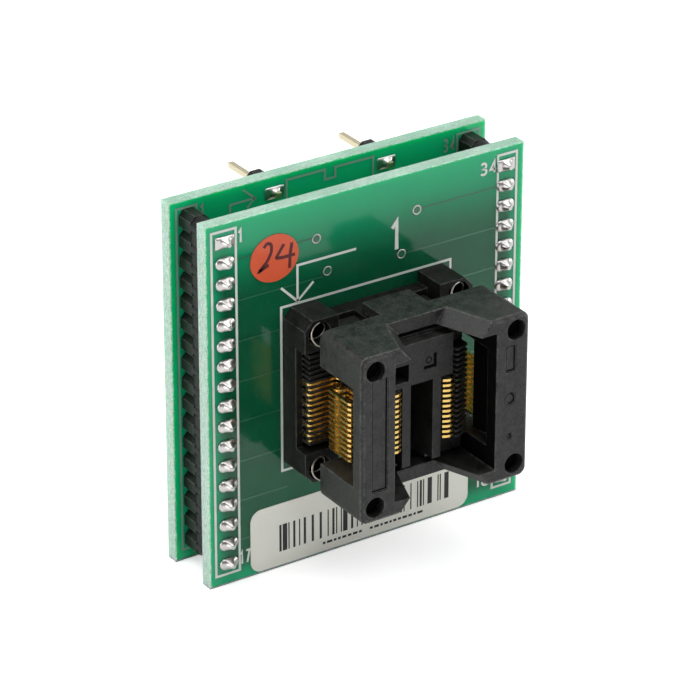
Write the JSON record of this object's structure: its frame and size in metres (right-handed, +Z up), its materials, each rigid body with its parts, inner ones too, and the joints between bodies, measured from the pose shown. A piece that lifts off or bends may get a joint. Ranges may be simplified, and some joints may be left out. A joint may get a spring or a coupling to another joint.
{
  "type": "test socket adapter",
  "caption": "Open-top test socket for a small-outline chip on a two-board stack with DIP pins; pressing the sprung cover spreads the contacts.",
  "frame": {"origin": "middle of the bottom of the overall box, on the surface that the boards' lower edges stand on", "axes": "+X along the boards' width, to the right seen from the socket side; +Y through the stack from the socket to the DIP pins; +Z up along the boards' height"},
  "size_m": [0.0432, 0.0332, 0.0457],
  "materials": {
    "board_green": "green solder mask over pale glass fibre board",
    "tin": "tinned copper",
    "solder": "bright solder",
    "black_plastic": "fine-grained moulded black plastic",
    "pin_gold": "thin pale gold plate",
    "contact_gold": "bright gold plate",
    "spring_steel": "bright drawn wire",
    "orange_paper": "satin paper",
    "white_paper": "coated paper"
  },
  "bodies": {
    "adapter": {"front_board": "board_green", "back_board": "board_green", "front_pads": "tin", "back_pads": "tin", "pin_strip_left": "black_plastic", "pin_strip_right": "black_plastic", "receptacle_strip_left": "black_plastic", "receptacle_strip_right": "black_plastic", "header_pins_left": "pin_gold", "header_pins_right": "pin_gold", "sleeves_left": "pin_gold", "sleeves_right": "pin_gold", "front_solder": "solder", "back_solder": "solder", "dip_solder": "solder", "contact_solder": "solder", "dip_strip_left": "black_plastic", "dip_strip_right": "black_plastic", "dip_pins_left": "pin_gold", "dip_pins_right": "pin_gold", "socket_base": "black_plastic", "chip_nest": "black_plastic", "contact_stems_left": "contact_gold", "contact_stems_right": "contact_gold", "sticker": "orange_paper", "label": "white_paper", "spring_lower_left": "spring_steel", "spring_lower_right": "spring_steel", "spring_upper_left": "spring_steel", "spring_upper_right": "spring_steel"},
    "cover": {"cover": "black_plastic"},
    "left_arms": {"contact_arms_left": "contact_gold"},
    "right_arms": {"contact_arms_right": "contact_gold"}
  },
  "joints": [
    {"name": "cover_press", "type": "slide", "parent": "adapter", "child": "cover", "axis": [0, 1, 0], "range_m": [0, 0.0025], "stiffness_N_per_m": 1800, "springref_m": -0.0008, "deforming": ["spring_lower_left", "spring_lower_right", "spring_upper_left", "spring_upper_right"]},
    {"name": "left_contacts_open", "type": "hinge", "parent": "adapter", "child": "left_arms", "pos_m": [-0.00763, -0.00607, 0.02286], "axis": [0, 0, -1], "range_deg": [0, 12]},
    {"name": "right_contacts_open", "type": "hinge", "parent": "adapter", "child": "right_arms", "pos_m": [0.00763, -0.00607, 0.02286], "axis": [0, 0, 1], "range_deg": [0, 12]}
  ],
  "couplings": [
    {"joint": "left_contacts_open", "follows": "cover_press", "rad_per_m": 83.77},
    {"joint": "right_contacts_open", "follows": "cover_press", "rad_per_m": 83.77}
  ]
}
